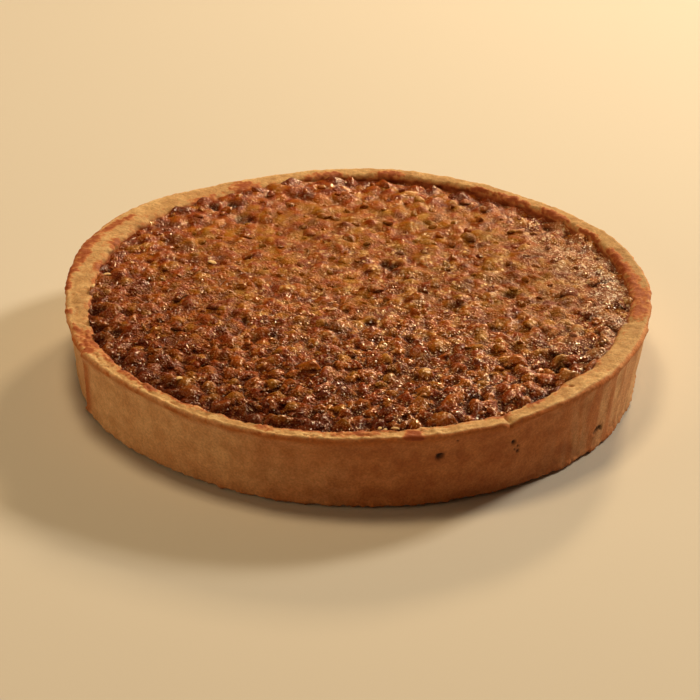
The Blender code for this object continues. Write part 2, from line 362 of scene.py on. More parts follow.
ragged = 0.8 * noise_at(px, py, pz, 0.0030) + 0.8 * noise_at(px, py, pz, 0.0012)
stained = np.clip(0.36 + 0.75 * smear + 0.95 * ragged, 0.0, 1.0)
smear = stained * ease((smear + 0.7) / 0.5) * on_rim
front_left = ease((angle + 162.0) / 12.0) * ease((-20.0 - angle) / 60.0)
inner_edge = ease((across - 0.40 + 0.2 * lumpy) / 0.40) * on_rim
inner_edge = inner_edge * (0.08 + 0.35 * front_left + 0.7 * ragged)
smear = np.maximum(smear, np.clip(inner_edge, 0.0, 0.62))

# Inside, the wall is browned, and soaked with syrup down by the filling.
below = HEIGHT - z
soaked = np.clip(0.40 + 0.30 * ragged + 0.55 * ease((below - 0.0012) / 0.0013), 0.0, 1.0)
soaked = soaked * inside_wall * ease(below / 0.0008)
caramel = np.maximum(smear, soaked)
STAIN_THICKNESS = 0.00025
relief += STAIN_THICKNESS * ease((smear - 0.45) / 0.3)

points = points + crust_normal * relief[..., None]
points[..., 2] = np.maximum(points[..., 2], 0.0)


def closed_grid_mesh(name, points, first, last):
    """A mesh of a grid that closes round on itself, with a fan of faces at each end."""
    columns, count = points.shape[:2]
    vertices = np.vstack([points.reshape(-1, 3), [first, last]])
    column = np.arange(columns)
    beside = (column + 1) % columns
    row = np.arange(count - 1)
    a = (column[:, None] * count + row).ravel()
    b = (beside[:, None] * count + row).ravel()
    faces = np.stack([a, a + 1, b + 1, b], axis=1).tolist()
    starts, next_starts = column * count, beside * count
    ends, next_ends = starts + count - 1, next_starts + count - 1
    faces += [(len(vertices) - 2, low, high) for low, high in zip(starts, next_starts)]
    faces += [(len(vertices) - 1, high, low) for low, high in zip(ends, next_ends)]
    mesh = bpy.data.meshes.new(name)
    mesh.from_pydata(vertices.tolist(), [], faces)
    return mesh


def add_value(mesh, name, values):
    """Keep one number for each vertex, for the material to read."""
    layer = mesh.attributes.new(name, "FLOAT", "POINT")
    padded = np.zeros(len(mesh.vertices), np.float32)
    padded[: values.size] = values.ravel()
    layer.data.foreach_set("value", padded)


def add_piece(name, mesh, material):
    mesh.materials.append(material)
    mesh.shade_smooth()
    piece = bpy.data.objects.new(name, mesh)
    bpy.context.scene.collection.objects.link(piece)
    return piece


crust_mesh = closed_grid_mesh("crust", points, (0.0, 0.0, FLOOR), (0.0, 0.0, 0.0))

# How brown each place is: the foot has baked browner, and a line under the lip is browner;
# painted shade darkens a band beside the lap joint, the pores and the pits, and the wall
# and rim towards the right. The knife has left the rim pale, and its outer edge palest;
# painted light makes the rim paler at the front.
cut_line = nominal_z - (HEIGHT - 0.0007) + 0.0003 * frayed
tin_face = (across < 0.1) * (1.0 - ease(cut_line / 0.0006))
under_lip = bell(HEIGHT - nominal_z + 0.0005 * uneven, 0.0017, 0.0012) * tin_face
# Painted shade: a browner band along the front side of the lap joint's step.
seam_side = seam_away(angle, z)
joint_shade = ease((seam_side + 0.4) / 0.5) * ease((3.4 - seam_side) / 1.8) * tin_face
joint_shade = joint_shade * ease((HEIGHT - 0.003 - z) / 0.006)
patchy = noise_at(px, py, pz, 0.0160)
cloudy = hump(angle, -30.0, 26.0)
toast_and_shade = at_foot * (0.35 + 0.6 * lumpy + 0.5 * sandy) * ease((angle + 170.0) / 70.0)
toast_and_shade += under_lip * (0.75 + 0.5 * frayed) + joint_shade * (0.8 + 0.3 * lumpy)
# Painted shade: the pores and pits of the rim are darkened.
toast_and_shade += 0.75 * pores + 0.9 * rim_pit
toast_and_shade += tin_face * (0.08 + 0.26 * patchy + 0.14 * sandy * hump(angle, -60.0, 50.0))
toast_and_shade += tin_face * cloudy * np.clip(0.1 + 0.9 * streaks, 0.0, 1.0) * 0.7
# Painted shade: the wall darker and redder from the front round to the right, and the rim darker at
# the right.
painted_shade_side = ease((angle + 137.0 + 8.0 * patchy) / 62.0) * ease((-10.0 - angle) / 32.0)
painted_shade_side = painted_shade_side * (1.0 - cloudy * np.clip(0.2 - 1.4 * streaks, 0.0, 0.9))
painted_shade_side = tin_face * painted_shade_side + 0.45 * on_rim * hump(angle, 5.0, 50.0)
# The knife-cut outer edge is paler; over the rest of the rim, painted light makes it paler at the
# front, and painted shade makes it less pale at the right.
pale_and_painted_light = ridge * (0.7 + 0.8 * noise_at(px, py, pz, 0.0022))
painted_light_side = 0.45 + 0.45 * hump(angle, -100.0, 80.0) - 0.22 * hump(angle, 5.0, 45.0)
pale_and_painted_light += on_rim * (0.25 + 0.9 * lumpy + 0.6 * sandy) * painted_light_side
crust_values = {
    "tin_side": tin_face,
    "painted_shade_side": painted_shade_side,
    "pale": pale_and_painted_light,
    "toast_and_shade": toast_and_shade,
    "caramel": caramel,
    "painted_hole_shade": painted_hole_shade,
}
for name, values in crust_values.items():
    add_value(crust_mesh, name, np.clip(values, 0.0, 1.0))


def colour(hex_code):
    """sRGB hex to the linear colour that the shaders use."""
    parts = [int(hex_code[index : index + 2], 16) / 255.0 for index in (1, 3, 5)]
    linear = [
        part / 12.92 if part <= 0.04045 else ((part + 0.055) / 1.055) ** 2.4 for part in parts
    ]
    return (*linear, 1.0)


def new_material(name):
    material = bpy.data.materials.new(name)
    material.use_nodes = True
    return material, material.node_tree.nodes["Principled BSDF"]


def add_node(material, kind, inputs, output=0, **settings):
    """Add a node, set or link its inputs by name or number, and give back one output."""
    node = material.node_tree.nodes.new(kind)
    for key, value in settings.items():
        setattr(node, key, value)
    for key, value in inputs.items():
        named = [socket for socket in node.inputs if socket.enabled and socket.name == key]
        socket = named[0] if named else node.inputs[key]
        if isinstance(value, bpy.types.NodeSocket):
            material.node_tree.links.new(value, socket)
        else:
            socket.default_value = value
    return node.outputs[output]


def feed(material, shader, **inputs):
    """Link node outputs to the shader's inputs."""
    for name, output in inputs.items():
        material.node_tree.links.new(output, shader.inputs[name.replace("_", " ")])


# Shortcrust: flour, butter and sugar baked dry, so it is matt and sandy, with pale and
# toasted grains under a millimetre across. Where syrup has soaked in it turns red-brown
# and shines.
GRAIN = 0.0009  # the sandy grain, about twice as coarse as it is, so that it shows
MOTTLE = 0.0060  # paler and browner spots
BLUSH = 0.0350  # how broad the browner sides are
shortcrust, crust_shader = new_material("baked shortcrust")
on_crust = add_node(shortcrust, "ShaderNodeTexCoord", {}, "Object")
grain, mottle, blush = (
    add_node(
        shortcrust,
        "ShaderNodeTexNoise",
        {"Vector": on_crust, "Scale": 1.0 / size, "Detail": detail, "Roughness": rough},
    )
    for size, detail, rough in ((GRAIN, 3.0, 0.6), (MOTTLE, 5.0, 0.5), (BLUSH, 2.0, 0.5))
)
# What the mesh holds at each vertex.
baked = {
    name: add_node(shortcrust, "ShaderNodeAttribute", {}, "Fac", attribute_name=name)
    for name in crust_values
}
# How much of each tone: (what decides it, from and to which value, least and most).
spread, blushed, sand, stain, thick = (
    add_node(
        shortcrust,
        "ShaderNodeMapRange",
        {"Value": value, "From Min": start, "From Max": end, "To Min": least, "To Max": most},
    )
    for value, start, end, least, most in (
        (mottle, 0.36, 0.64, 0.0, 1.0),
        (blush, 0.3, 0.7, 0.0, 0.4),
        (grain, 0.35, 0.65, 0.8, 1.12),
        (baked["caramel"], 0.15, 0.65, 0.0, 0.65),
        (baked["caramel"], 0.6, 1.0, 0.0, 0.8),
    )
)
wall_tone, brown_tone = (
    add_node(
        shortcrust,
        "ShaderNodeMix",
        {0: spread, 6: colour(pale), 7: colour(dark)},
        2,
        data_type="RGBA",
    )
    for pale, dark in (("#dcb184", "#c8996c"), ("#c27c4b", "#a96439"))
)
# Painted shade: the wall turns to the darker brown towards the right.
inputs = {0: baked["painted_shade_side"], 6: wall_tone, 7: brown_tone}
wall_tone = add_node(shortcrust, "ShaderNodeMix", inputs, 2, data_type="RGBA")
# The rim's tones one over another, with painted light and shade by side, then the wall's,
# then what has baked on and soaked in, with painted shade in the joint, pores, pits and holes.
tone = colour("#c9a97a")
for share, over, blend in (
    (spread, colour("#b08c60"), "MIX"),
    (blushed, colour("#a67850"), "MIX"),
    (baked["pale"], colour("#e4ca9c"), "MIX"),
    (baked["painted_shade_side"], colour("#8e7450"), "MIX"),
    (baked["tin_side"], wall_tone, "MIX"),
    (baked["toast_and_shade"], colour("#b06530"), "MIX"),
    (1.0, sand, "MULTIPLY"),
    (stain, colour("#b6602a"), "MIX"),
    (thick, colour("#863610"), "MIX"),
    (baked["painted_hole_shade"], colour("#1c0d06"), "MIX"),
):
    inputs = {0: share, 6: tone, 7: over}
    tone = add_node(shortcrust, "ShaderNodeMix", inputs, 2, data_type="RGBA", blend_type=blend)
dullness = add_node(
    shortcrust, "ShaderNodeMapRange", {"Value": thick, "To Min": 0.8, "To Max": 0.6}
)
roughened = add_node(
    shortcrust, "ShaderNodeMath", {0: mottle, 1: 1.4, 2: grain}, operation="MULTIPLY_ADD"
)
crust_bump = add_node(
    shortcrust, "ShaderNodeBump", {"Strength": 0.8, "Distance": 0.0003, "Height": roughened}
)
crust_shader.inputs["IOR"].default_value = 1.45
crust_shader.inputs["Specular IOR Level"].default_value = 0.35
feed(shortcrust, crust_shader, Base_Color=tone, Roughness=dullness, Normal=crust_bump)

crust = add_piece("crust", crust_mesh, shortcrust)
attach(crust, "root")
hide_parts("pastry_case")

# ----------------------------------------------------------------------------------
# The syrup: sugar, butter and cream that boil up between the chopped nuts and set. It
# is thin and glossy over the nuts, painted dark as shadow in the gaps and darker along the
# crust, and it covers countless small nuts that only show as lumps.

STEP = 0.0004  # of the height field that the syrup is worked out on
FIELD_HALF = 0.1125
SYRUP_CELLS = 308  # faces along each side of the syrup's grid
SYRUP_FOOT = 0.0070  # its hidden bottom, inside the case
chance = random.Random(3)

cad_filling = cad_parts["walnut_filling"].data
cad_tree = BVHTree.FromPolygons(
    [vertex.co.copy() for vertex in cad_filling.vertices],
    [tuple(polygon.vertices) for polygon in cad_filling.polygons],
)
DOWN = Vector((0.0, 0.0, -1.0))
ABOVE = 0.08  # well over the pie

axis = np.arange(-FIELD_HALF, FIELD_HALF + STEP / 2, STEP)
field_x, field_y = np.meshgrid(axis, axis, indexing="ij")
field_angle = np.degrees(np.arctan2(field_y, field_x))
field_radius = np.hypot(field_x, field_y)
field_edge = inner_radius(field_angle, np.full_like(field_x, HEIGHT - 0.003))
to_edge = field_edge - field_radius  # distance in from the crust


def cad_height(x, y):
    hit = cad_tree.ray_cast(Vector((x, y, ABOVE)), DOWN)[0]
    return hit.z if hit else HEIGHT - 0.004


def soften(field, size):
    """Blur a square field over the given distance."""
    wave = np.fft.fftfreq(field.shape[0], STEP)
    keep = np.exp(-2.0 * (np.pi * wave * size) ** 2)
    return np.fft.ifft2(np.fft.fft2(field) * keep[:, None] * keep[None, :]).real


def field_noise(size, layer):
    return noise_at(field_x, field_y, np.full_like(field_x, 10.0 * layer * size), size)


def window(x, y, reach):
    """The part of the field within reach of a point, and its offsets from the point."""
    low_i, high_i = (int(round((x + FIELD_HALF + side * reach) / STEP)) for side in (-1, 1))
    low_j, high_j = (int(round((y + FIELD_HALF + side * reach) / STEP)) for side in (-1, 1))
    part = (slice(max(low_i, 0), high_i + 1), slice(max(low_j, 0), high_j + 1))
    return part, field_x[part] - x, field_y[part] - y


GOLDEN_ANGLE = 137.508  # from one seed of a sunflower to the next, in degrees


def sunflower(count, reach, jitter):
    """Even places over a disc, each moved a little by chance."""
    for number in range(count):
        radius = reach * math.sqrt((number + 0.5) / count)
        turn = math.radians(number * GOLDEN_ANGLE)
        yield (
            radius * math.cos(turn) + chance.uniform(-jitter, jitter),
            radius * math.sin(turn) + chance.uniform(-jitter, jitter),
        )


shrink = np.minimum(1.0, (field_edge - 0.0012) / np.maximum(field_radius, 1e-6))
places = zip((field_x * shrink).ravel(), (field_y * shrink).ravel())
cad_top = np.array([cad_height(x, y) for x, y in places]).reshape(field_x.shape)

# The bed that the nuts lie in follows the solid: its level, and most of its lumps.
BED_DROP = 0.0005
BOTTOM_DROP = 0.0012  # from there to the bottom of the gaps between the nuts
level = soften(cad_top, 0.0060)
bed = level + 0.7 * (soften(cad_top, 0.0009) - level) - BED_DROP
top = bed - BOTTOM_DROP

# Where on the filling a place is: in from the crust, towards the back, towards the front.
inward = ease(to_edge / 0.032)
backward = ease(0.5 + (0.35 * field_x + field_y) / 0.17)
frontward = ease((-0.015 - field_y + 0.2 * field_x) / 0.06)

shade = 0.5 + 0.5 * field_noise(0.0070, 1)
warp_x = 0.0015 * field_noise(0.0038, 7) + 0.0007 * field_noise(0.0016, 8)
warp_y = 0.0015 * field_noise(0.0038, 9) + 0.0007 * field_noise(0.0016, 10)

# The nuts under the syrup: (how many, shortest, longest, least and most sunk, how much
# further out at the front), the larger ones first. Each is a rounded dome with two flat
# breaks, bent a little out of true.
COVERED_NUTS = (
    (640, 0.0052, 0.0080, 0.22, 0.66, 0.14),
    (2200, 0.0031, 0.0050, 0.25, 0.82, -0.15),
    (2800, 0.0019, 0.0033, 0.15, 0.85, -0.15),
)
NUT_WIDTHS = (0.62, 0.92)  # least and most, against its length
NUT_HEIGHTS = (0.32, 0.50)
for count, shortest, longest, least, most, out_in_front in COVERED_NUTS:
    for x, y in sunflower(count, TOP_RADIUS - RIM_WIDTH, 0.0018):
        part, dx, dy = window(x, y, longest)
        if dx.size == 0:
            continue
        here = dx.shape[0] // 2, dx.shape[1] // 2
        length = chance.uniform(shortest, longest) * (1.2 - 0.3 * inward[part][here])
        width = length * chance.uniform(*NUT_WIDTHS)
        height = length * chance.uniform(*NUT_HEIGHTS)
        dx = dx + warp_x[part]
        dy = dy + warp_y[part]
        spin = chance.uniform(0.0, math.pi)
        u = (dx * math.cos(spin) + dy * math.sin(spin)) / (length / 2)
        v = (dy * math.cos(spin) - dx * math.sin(spin)) / (width / 2)
        dome = height * 1.1 * np.maximum(1.0 - u * u - v * v, 0.0) ** 0.65
        for _ in range(2):
            facing = chance.uniform(0.0, math.tau)
            slope = chance.uniform(0.1, 1.0)
            reach = chance.uniform(0.6, 1.1)
            tilted = u * math.cos(facing) + v * math.sin(facing)
            dome = np.minimum(dome, height * (reach + slope * (0.25 - tilted)))
        sunk_by = chance.uniform(least, most) - 0.15 * (1.0 - inward[part][here])
        sunk_by = sunk_by - out_in_front * frontward[part][here]
        dome = dome + bed[part][here] - height * sunk_by
        covered = (u * u + v * v < 1.0) & (dome > top[part])
        top[part] = np.where(covered, dome, top[part])
        shade[part] = np.where(covered, chance.betavariate(1.6, 1.6), shade[part])

# The syrup between them: high in the middle and at the back, where it drowns all but the
# tallest nuts, and low along the front and left edge, where gaps are left.
MENISCUS = 0.0005  # how far it climbs what stands out of it
calm = inward * (0.35 + 0.65 * backward)
patches = 0.75 + 0.9 * field_noise(0.0100, 20)
film = bed - 0.0006 + 0.0005 * calm
film = film + 0.0005 * field_noise(0.0120, 11) + 0.0004 * field_noise(0.0045, 12)
over = (film - top) / MENISCUS
top = np.where(over > 0.0, film, top) + 0.5 * MENISCUS * np.maximum(1.0 - np.abs(over), 0.0) ** 2
drowned = soften(ease(0.5 + 0.5 * over), 0.0004)

# It rounds every edge, and has settled smoother at the back.
leftward = ease((0.02 - field_x) / 0.06) * (1.0 - frontward)
leftward = np.maximum(leftward, 0.9 * ease((-0.02 - field_x) / 0.04))
broad = soften(top, 0.0040)
top = broad + (top - broad) * (1.0 - 0.30 * inward * backward - 0.18 * leftward)
top = 0.2 * top + 0.8 * soften(top, 0.0004)
top = top + 0.8 * backward * (soften(top, 0.0011) - top)
shade = soften(shade, 0.0005)

# Deep gaps where there is no nut, painted near-black as shadow: (x, y, radius, depth).
PITS = (
    (-0.1011, -0.0189, 0.0032, 0.0026),
    (-0.0991, -0.0321, 0.0040, 0.0026),
    (-0.0931, -0.0353, 0.0036, 0.0024),
    (-0.0971, -0.0419, 0.0034, 0.0020),
    (-0.0877, -0.0552, 0.0040, 0.0024),
    (-0.0681, -0.0790, 0.0034, 0.0022),
    (-0.0291, -0.0786, 0.0038, 0.0028),
    (-0.0381, -0.0933, 0.0034, 0.0026),
    (-0.0262, -0.0980, 0.0036, 0.0028),
    (0.0011, -0.0930, 0.0028, 0.0018),
    (0.0038, -0.1030, 0.0028, 0.0018),
    (0.0170, -0.0990, 0.0032, 0.0022),
    (0.0309, -0.0936, 0.0036, 0.0028),
    (0.0440, -0.0815, 0.0038, 0.0026),
    (0.0498, -0.0657, 0.0030, 0.0018),
    (0.0764, -0.0558, 0.0056, 0.0048),
    (0.0120, 0.0250, 0.0044, 0.0026),
    (0.0597, 0.0039, 0.0034, 0.0024),
    (0.0981, 0.0191, 0.0028, 0.0020),
    (-0.0470, 0.0665, 0.0044, 0.0024),
    (-0.0530, 0.0780, 0.0030, 0.0020),
    (-0.0606, 0.0742, 0.0028, 0.0018),
    (-0.0430, -0.0249, 0.0024, 0.0014),
    (0.0197, -0.0045, 0.0020, 0.0014),
    (0.0195, -0.0371, 0.0024, 0.0014),
    (0.0050, -0.0242, 0.0024, 0.0012),
)
gap = np.zeros_like(top)
pit_edge = 0.6 * field_noise(0.0040, 2) + 0.4 * field_noise(0.0017, 14)
for x, y, size, depth in PITS:
    part, dx, dy = window(x, y, size * 1.8)
    hollow = ease(1.3 - np.hypot(dx, dy) / size - pit_edge[part])
    top[part] -= 0.8 * depth * hollow
    gap[part] = np.maximum(gap[part], hollow)

# Where the syrup is darker, partly cooked darker and partly painted shade: patches (x, y,
# radius, strength), the front left, and along the crust.
DARKER_PATCHES = (
    (-0.0964, 0.0033, 0.0065, 0.55),
    (-0.0870, -0.0007, 0.0050, 0.50),
    (-0.1000, -0.0320, 0.0090, 0.65),
    (-0.0768, -0.0602, 0.0070, 0.60),
    (-0.0735, -0.0701, 0.0060, 0.60),
    (-0.0549, -0.0855, 0.0060, 0.55),
    (-0.0472, -0.0915, 0.0055, 0.50),
    (0.0000, -0.0980, 0.0080, 0.40),
    (0.0146, -0.0743, 0.0045, 0.40),
    (0.0731, -0.0461, 0.0050, 0.35),
    (0.0887, -0.0380, 0.0055, 0.40),
    (-0.0793, 0.0570, 0.0065, 0.60),
    (-0.0743, 0.0428, 0.0055, 0.60),
    (-0.0690, 0.0365, 0.0050, 0.50),
    (-0.0031, 0.0670, 0.0060, 0.35),
    (-0.0205, 0.0404, 0.0050, 0.30),
)
cooked_and_shade = 0.18 * ease(1.0 - to_edge / 0.014)
cooked_and_shade += 0.15 * inward * (backward + hump(field_angle, 15.0, 60.0))
cooked_and_shade += 0.46 * ease(1.0 - to_edge / 0.060) * hump(field_angle, -132.0, 90.0)
cooked_and_shade += 0.45 * np.clip(field_noise(0.0110, 17) + 0.4 * field_noise(0.0220, 18) - 0.1, 0.0, 0.6)
cooked_and_shade += 0.90 * inward * np.clip(field_noise(0.0058, 22) - 0.05, 0.0, 0.5)
for x, y, size, strength in DARKER_PATCHES:
    part, dx, dy = window(x, y, size * 1.8)
    patch = strength * ease(1.4 - np.hypot(dx, dy) / size - 0.8 * pit_edge[part])
    cooked_and_shade[part] = np.maximum(cooked_and_shade[part], patch)

# Its skin has set in fine wrinkles, and it creeps up the crust, furthest at the right.
WRINKLE = 0.00013
top += WRINKLE * field_noise(0.0016, 5)
beside_crust = np.maximum(to_edge, 0.0)
creep = np.exp(-beside_crust / 0.0022) * (1.0 + 0.8 * field_noise(0.0045, 13))
top += creep * (0.0005 + 0.0007 * hump(field_angle, 33.0, 62.0))
top += 0.0009 * hump(field_angle, 20.0, 60.0) * np.exp(-beside_crust / 0.009)

# How deep each place lies between the nuts, and where bubbles were left in the syrup.
# Painted glints go on some bubbles, with froth and painted reflection along the right and
# painted soft highlights in flecks over the middle.
sunk = 0.75 * (soften(top, 0.0026) - top) / 0.0009 + 0.4 * (soften(top, 0.0009) - top) / 0.0003
sunk = sunk * (1.0 - 0.35 * leftward - 0.35 * backward)
# Painted reflection: the right side, where froth and painted glints go.
froth_and_glint_side = hump(field_angle, 8.0, 65.0) * ease((field_radius - 0.070) / 0.030)
foamy = 0.6 + 0.4 * field_noise(0.0170, 3) + 0.6 * field_noise(0.0050, 4)
foamy = foamy + 0.7 * np.clip(sunk, -1.0, 1.0) + 0.2 * drowned + 0.9 * froth_and_glint_side
foamy = np.clip(foamy, 0.12, 1.0) * (1.0 - 0.6 * backward * (1.0 - froth_and_glint_side))
glints = 0.7 * ease((field_x + 0.06) / 0.11) + 0.3 * froth_and_glint_side + 0.4 * field_noise(0.0120, 19)
# Painted soft highlights in flecks over the middle and along the right.
central = ease(1.50 - np.hypot(field_x - 0.01, 1.1 * (field_y - 0.012)) / 0.070)
highlight_fleck = central * np.clip(0.45 + 2.4 * field_noise(0.0060, 21), 0.0, 1.0)
highlight_fleck = highlight_fleck * np.clip(0.8 - 0.9 * sunk, 0.0, 1.0)
side_highlight_fleck = froth_and_glint_side * np.clip(0.7 + 1.5 * field_noise(0.0060, 23), 0.0, 1.0)
highlight_fleck = np.maximum(highlight_fleck, side_highlight_fleck * np.clip(0.9 - 0.7 * sunk, 0.0, 1.0))
# Froth along the right, whitened partly as painted reflection.
froth_and_sheen = 0.50 + 1.5 * field_noise(0.0095, 15) + 0.7 * field_noise(0.0030, 16)
froth_and_sheen = froth_and_glint_side * np.clip(froth_and_sheen, 0.0, 1.0)
dull = 0.55 * inward * backward + 0.1 * ease((0.01 - field_x) / 0.07)
dull = dull + 0.35 * hump(field_angle, -122.0, 75.0) * ease((field_radius - 0.04) / 0.04)
dull = np.clip(dull, 0.0, 0.7)


def sample(field, x, y):
    """Read a field between its points."""
    i = np.clip((x + FIELD_HALF) / STEP, 0, field.shape[0] - 1.001)
    j = np.clip((y + FIELD_HALF) / STEP, 0, field.shape[1] - 1.001)
    low_i, low_j = i.astype(int), j.astype(int)
    part_i, part_j = i - low_i, j - low_j
    near = field[low_i, low_j] * (1 - part_i) + field[low_i + 1, low_j] * part_i
    far = field[low_i, low_j + 1] * (1 - part_i) + field[low_i + 1, low_j + 1] * part_i
    return near * (1 - part_j) + far * part_j


# A square grid drawn out to a disc, so that its cells stay about the same size.
side = np.linspace(-1.0, 1.0, SYRUP_CELLS + 1)
u, v = np.meshgrid(side, side, indexing="ij")
ring = np.maximum(np.abs(u), np.abs(v))
wide = np.abs(u) >= np.abs(v)
lesser, greater = np.where(wide, v, u), np.where(wide, u, v)
slant = np.pi / 4 * np.divide(lesser, greater, out=np.zeros_like(u), where=ring > 0)
disc_turn = np.where(wide, slant + np.pi * (u < 0), np.pi / 2 - slant + np.pi * (v < 0))
edge = inner_radius(np.degrees(disc_turn), np.full_like(u, HEIGHT - 0.002)) + 0.0007
disc_x = ring * edge * np.cos(disc_turn)
disc_y = ring * edge * np.sin(disc_turn)
surface = np.stack([disc_x, disc_y, sample(top, disc_x, disc_y)], axis=2).reshape(-1, 3)

index = np.arange(len(surface)).reshape(u.shape)
corners = [index[:-1, :-1], index[1:, :-1], index[1:, 1:], index[:-1, 1:]]
faces = np.stack(corners, axis=2).reshape(-1, 4).tolist()
rim_loop = np.concatenate([index[:-1, 0], index[-1, :-1], index[:0:-1, -1], index[0, :0:-1]])
skirt_angle = np.arctan2(surface[rim_loop, 1], surface[rim_loop, 0])
skirt_z = np.full_like(skirt_angle, SYRUP_FOOT)
skirt_radius = inner_radius(np.degrees(skirt_angle), skirt_z)
skirt_x, skirt_y = skirt_radius * np.cos(skirt_angle), skirt_radius * np.sin(skirt_angle)
skirt = np.stack([skirt_x, skirt_y, skirt_z], axis=1)
skirt_index = np.arange(len(surface), len(surface) + len(skirt))
corners = [np.roll(rim_loop, -1), rim_loop, skirt_index, np.roll(skirt_index, -1)]
faces += np.stack(corners, axis=1).tolist()
faces.append(skirt_index[::-1].tolist())
syrup_mesh = bpy.data.meshes.new("caramel_syrup")
syrup_mesh.from_pydata(np.vstack([surface, skirt]).tolist(), [], faces)

# What the caramel material reads at each place: (field, most).
filling_fields = {
    "gap": (gap, 1.0),
    "foam": (foamy, 1.0),
    "film": (drowned, 1.0),
    # Golden towards the middle and back: partly the syrup's colour, partly painted light.
    "golden": (calm * patches, 1.0),
    "dull": (dull, 1.0),
    "froth_and_sheen": (froth_and_sheen, 1.0),
    "crisp": (1.0 - 0.6 * backward, 1.0),
    "glint": (glints, 1.0),
    "highlight_fleck": (highlight_fleck, 1.0),
    "cooked_and_shade": (cooked_and_shade, 0.8),
}


def add_filling_values(mesh, x, y, shade_values, sunk_values):
    """Keep how dark each nut is, how deep it lies, and the fields where it is."""
    add_value(mesh, "shade", np.clip(shade_values, 0.0, 1.0))
    add_value(mesh, "sunk", np.clip(sunk_values, -1.0, 1.0))
    for name, (field, most) in filling_fields.items():
        add_value(mesh, name, np.clip(sample(field, x, y), 0.0, most))


surface_shade, surface_sunk = sample(shade, disc_x, disc_y), sample(sunk, disc_x, disc_y)
add_filling_values(syrup_mesh, disc_x, disc_y, surface_shade, surface_sunk)

# Caramel over walnut: clear amber syrup, so each nut shows through in its own brown,
# under a hard wet gloss full of bubbles about a millimetre across.
BUBBLE = 0.0010
FLECK_CELL = 0.0021  # cells of the painted soft highlights
NUT_SKIN = 0.0028  # paler and darker places on a nut
RIPPLE = 0.0012  # in the syrup's skin
NUT_TONES = (
    (0.0, "#641f03"),
    (0.25, "#933c06"),
    (0.5, "#a95a0f"),
    (0.75, "#af751e"),
    (1.0, "#c09042"),
)
caramel_coat, caramel_shader = new_material("caramel over walnut")
on_filling = add_node(caramel_coat, "ShaderNodeTexCoord", {}, "Object")
# What the mesh holds at each vertex.
held = {
    name: add_node(caramel_coat, "ShaderNodeAttribute", {}, "Fac", attribute_name=name)
    for name in ("shade", "sunk", *filling_fields)
}
skin, ripple = (
    add_node(
        caramel_coat,
        "ShaderNodeTexNoise",
        {"Vector": on_filling, "Scale": 1.0 / size, "Detail": detail},
    )
    for size, detail in ((NUT_SKIN, 4.0), (RIPPLE, 2.0))
)
bubbles, fleck_cells = (
    add_node(caramel_coat, "ShaderNodeTexVoronoi", {"Vector": on_filling, "Scale": 1.0 / size})
    for size in (BUBBLE, FLECK_CELL)
)
hollow = add_node(caramel_coat, "ShaderNodeMath", {0: bubbles, 1: bubbles}, operation="MULTIPLY")
# A number by chance for each bubble, higher in the froth, where more of them get a painted glint.
each_bubble = add_node(
    caramel_coat,
    "ShaderNodeMath",
    {0: held["froth_and_sheen"], 1: 0.2, 2: bubbles.node.outputs["Color"]},
    operation="MULTIPLY_ADD",
)
each_fleck = fleck_cells.node.outputs["Color"]

# How much each thing shows: (what decides it, from and to which value, least and most).
# Painted light and shade among these: highlights on bubble tops, shade between bubbles, glints and
# soft highlights on some bubbles, and shade deep between the nuts.
shows = {
    name: add_node(
        caramel_coat,
        "ShaderNodeMapRange",
        {"Value": value, "From Min": start, "From Max": end, "To Min": least, "To Max": most},
    )
    for name, value, start, end, least, most in (
        ("painted_bubble_top", hollow, 0.12, 0.02, 0.0, 0.85),
        ("between", hollow, 0.12, 0.40, 0.0, 0.50),
        ("painted_glint", each_bubble, 0.60, 0.68, 0.0, 1.0),
        ("dried dome", hollow, 0.14, 0.04, 0.0, 0.90),
        ("painted_soft_highlight", each_fleck, 0.48, 0.54, 0.0, 1.0),
        ("settled dome", fleck_cells, 0.48, 0.20, 0.0, 0.95),
        ("deep", held["sunk"], 0.05, 0.70, 0.0, 0.90),
        ("not golden", held["golden"], 0.0, 1.0, 1.0, 0.55),
        ("not frothed", held["froth_and_sheen"], 0.0, 1.0, 1.0, 0.80),
        ("not dull", held["dull"], 0.0, 1.0, 1.0, 0.0),
        ("glaze", held["sunk"], -0.10, 0.80, 0.95, 0.30),
        ("wetness", skin, 0.30, 0.70, 0.40, 0.55),
    )
}
# Each of these is the product of what stands behind it.
factors_of = {
    "flooded": (held["film"], 0.6),
    "painted_gap_shadow": (held["gap"], 0.82),
    "frothed_sheen": (held["froth_and_sheen"], 0.38),
    "painted_bubble_top": (shows["painted_bubble_top"], held["foam"]),
    "between": (shows["between"], held["foam"]),
    "deep": (shows["deep"], shows["not golden"], shows["not frothed"]),
    "painted_glint": (shows["painted_glint"], shows["dried dome"], held["glint"], held["foam"]),
    "painted_soft_highlight": (shows["painted_soft_highlight"], shows["settled dome"], held["highlight_fleck"]),
    "glaze": (shows["glaze"], shows["not dull"]),
    "bubbly": (hollow, held["foam"]),
}
shares = {}
for name, (share, *factors) in factors_of.items():
    for factor in factors:
        inputs = {0: share, 1: factor}
        share = add_node(caramel_coat, "ShaderNodeMath", inputs, operation="MULTIPLY")
    shares[name] = share

